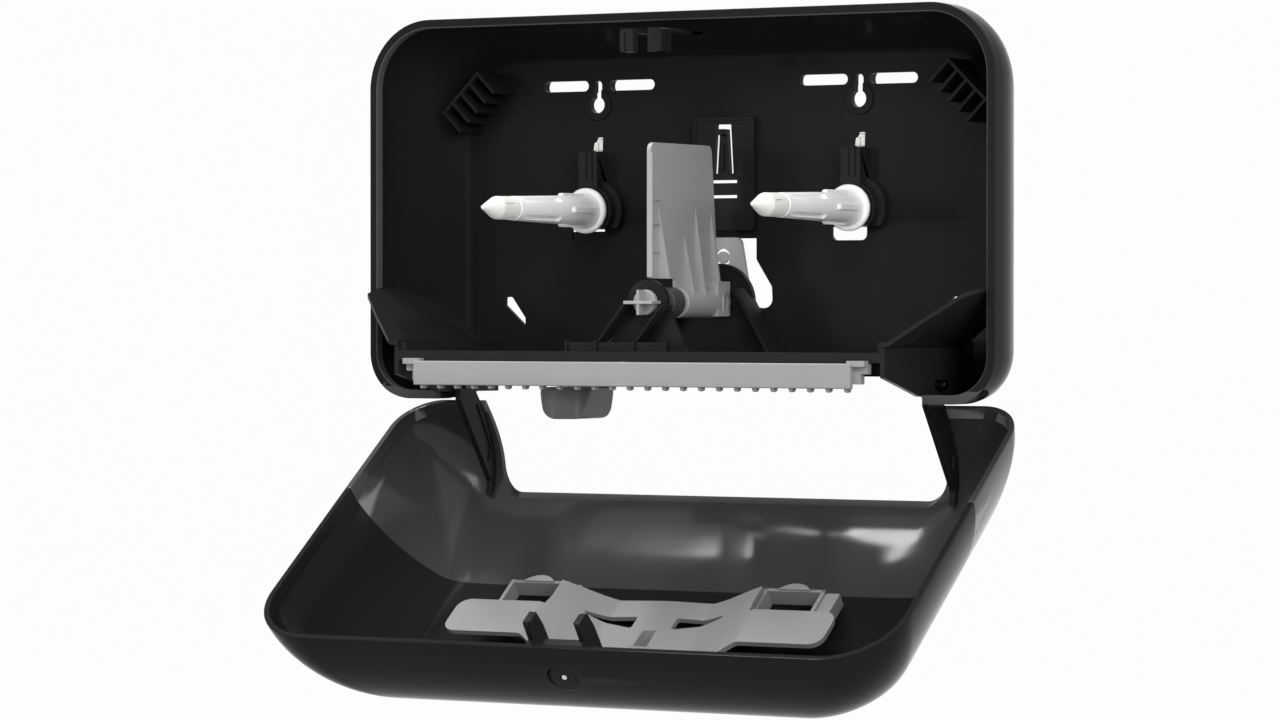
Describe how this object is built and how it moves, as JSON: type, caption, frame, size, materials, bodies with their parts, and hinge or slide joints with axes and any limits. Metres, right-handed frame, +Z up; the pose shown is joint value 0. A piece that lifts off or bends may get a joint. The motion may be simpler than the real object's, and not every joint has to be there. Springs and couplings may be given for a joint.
{
  "type": "double toilet roll dispenser",
  "caption": "Wall-mounted black plastic dispenser for small toilet rolls side by side, with spindles, a swinging flap, a tear bar and a lockable smoke cover that hinges down.",
  "frame": {"origin": "on the wall plane, midway between the two spindles and at their height", "axes": "+X to the right as seen by the user, +Y into the wall, +Z up; the user stands on the -Y side"},
  "size_m": [0.35, 0.1835, 0.3364],
  "materials": {
    "black_plastic": "glossy black moulded plastic",
    "smoke_plastic": "glossy smoke-tinted see-through plastic",
    "charcoal_plastic": "satin charcoal plastic",
    "grey_plastic": "satin mid-grey moulded plastic",
    "white_plastic": "satin white moulded plastic",
    "cream_plastic": "satin cream moulded plastic",
    "pin_steel": "plain steel"
  },
  "bodies": {
    "housing": {"base_housing": "black_plastic", "chute_frame": "black_plastic", "tear_bar": "grey_plastic", "centre_panel": "black_plastic", "latch_catch": "black_plastic", "front_bracket": "black_plastic", "rear_bracket": "black_plastic", "flap_pivot_pin": "grey_plastic", "hub_ring_left": "black_plastic", "hub_ring_right": "black_plastic", "spindle_latch_left": "cream_plastic", "spindle_latch_right": "cream_plastic", "hinge_pin_left": "pin_steel", "hinge_pin_right": "pin_steel"},
    "cover": {"cover_shell": "black_plastic", "cover_window": "smoke_plastic", "hinge_arm_left": "charcoal_plastic", "hinge_arm_right": "charcoal_plastic", "roll_guide_plate": "grey_plastic", "lock_housing": "black_plastic"},
    "left_spindle": {"spindle_left": "white_plastic", "spindle_tip_left": "cream_plastic"},
    "right_spindle": {"spindle_right": "white_plastic", "spindle_tip_right": "cream_plastic"},
    "roll_flap": {"flap": "grey_plastic"},
    "selector": {"selector_lever": "charcoal_plastic"},
    "lock": {"lock_cylinder": "charcoal_plastic", "lock_cam": "charcoal_plastic"}
  },
  "joints": [
    {"name": "cover_hinge", "type": "hinge", "parent": "housing", "child": "cover", "pos_m": [0, -0.0472, -0.086], "axis": [1, 0, 0], "range_deg": [-126, 0]},
    {"name": "left_spindle_spin", "type": "hinge", "parent": "housing", "child": "left_spindle", "pos_m": [-0.0745, -0.02, 0], "axis": [0, 1, 0], "continuous": true},
    {"name": "right_spindle_spin", "type": "hinge", "parent": "housing", "child": "right_spindle", "pos_m": [0.0745, -0.02, 0], "axis": [0, 1, 0], "continuous": true},
    {"name": "flap_swing", "type": "hinge", "parent": "housing", "child": "roll_flap", "pos_m": [0, -0.04, -0.0465], "axis": [0, 1, 0], "range_deg": [-30, 30]},
    {"name": "selector_swing", "type": "hinge", "parent": "housing", "child": "selector", "pos_m": [0, -0.07, -0.0465], "axis": [0, -1, 0], "range_deg": [0, 84]},
    {"name": "lock_turn", "type": "hinge", "parent": "cover", "child": "lock", "pos_m": [0, -0.16922, -0.2236], "axis": [0, -0.809, -0.5878], "range_deg": [0, 90]}
  ]
}
